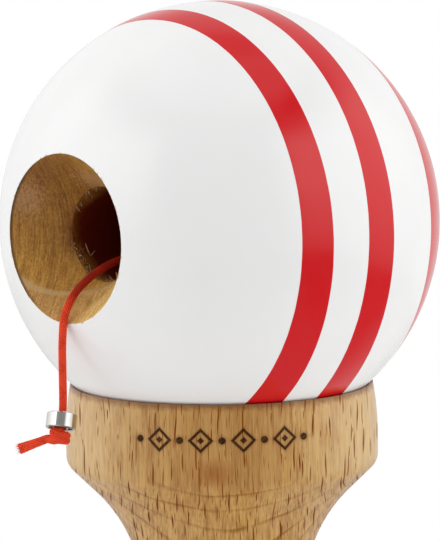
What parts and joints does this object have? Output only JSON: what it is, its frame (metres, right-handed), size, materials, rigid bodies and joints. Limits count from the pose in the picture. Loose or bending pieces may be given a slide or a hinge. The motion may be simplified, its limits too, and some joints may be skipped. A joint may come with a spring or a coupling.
{
  "type": "cup and ball toy",
  "caption": "Turned wooden cup and ball toy, held spike down: a striped painted ball on the base cup, a cross-piece of cups on the handle, and a thin cord with a bearing bead.",
  "frame": {"origin": "tip of the spike, where a hand or a stand holds the handle upside down", "axes": "+Z along the handle from the spike to the ball; -Y out of the ball's mouth; the cross-piece lies along X with the small cup at +X and the big cup at -X"},
  "size_m": [0.0705, 0.0676, 0.2121],
  "materials": {
    "beech": "clear satin varnish on turned beech",
    "ball_paint": "gloss white paint with red stripes on turned beech, bare wood in the hole",
    "cord": "fine braided cord",
    "bearing_steel": "ground and polished bearing steel"
  },
  "bodies": {
    "handle": {"ken": "beech", "sarado": "beech", "string_run": "cord", "string_wrap": "cord", "string_lead": "cord", "anchor_knot": "cord"},
    "cord": {"string_through": "cord"},
    "ball": {"tama": "ball_paint"},
    "tail": {"string_tail": "cord", "end_knot": "cord", "bearing_inner_ring": "bearing_steel"},
    "bead": {"bearing_outer_ring": "bearing_steel"},
    "cage": {"bearing_cage": "bearing_steel", "bearing_balls": "bearing_steel"}
  },
  "joints": [
    {"name": "ball_lift", "type": "slide", "parent": "handle", "child": "cord", "axis": [0, 0, 1], "range_m": [0, 0.06], "deforming": ["string_run"]},
    {"name": "ball_spin", "type": "hinge", "parent": "cord", "child": "ball", "pos_m": [0, 0, 0.18214], "axis": [0, -0.9999, -0.0122], "continuous": true},
    {"name": "tail_swing", "type": "hinge", "parent": "cord", "child": "tail", "pos_m": [0, -0.0283, 0.17014], "axis": [-1, 0, 0], "range_deg": [-20, 60], "deforming": ["string_tail"]},
    {"name": "bead_spin", "type": "hinge", "parent": "tail", "child": "bead", "pos_m": [0.0002, -0.029, 0.15804], "axis": [0.1737, -0.3134, -0.9336], "continuous": true},
    {"name": "cage_spin", "type": "hinge", "parent": "tail", "child": "cage", "pos_m": [0.0002, -0.029, 0.15804], "axis": [0.1737, -0.3134, -0.9336], "continuous": true}
  ],
  "couplings": [
    {"joint": "cage_spin", "follows": "bead_spin", "ratio": 0.61321}
  ]
}
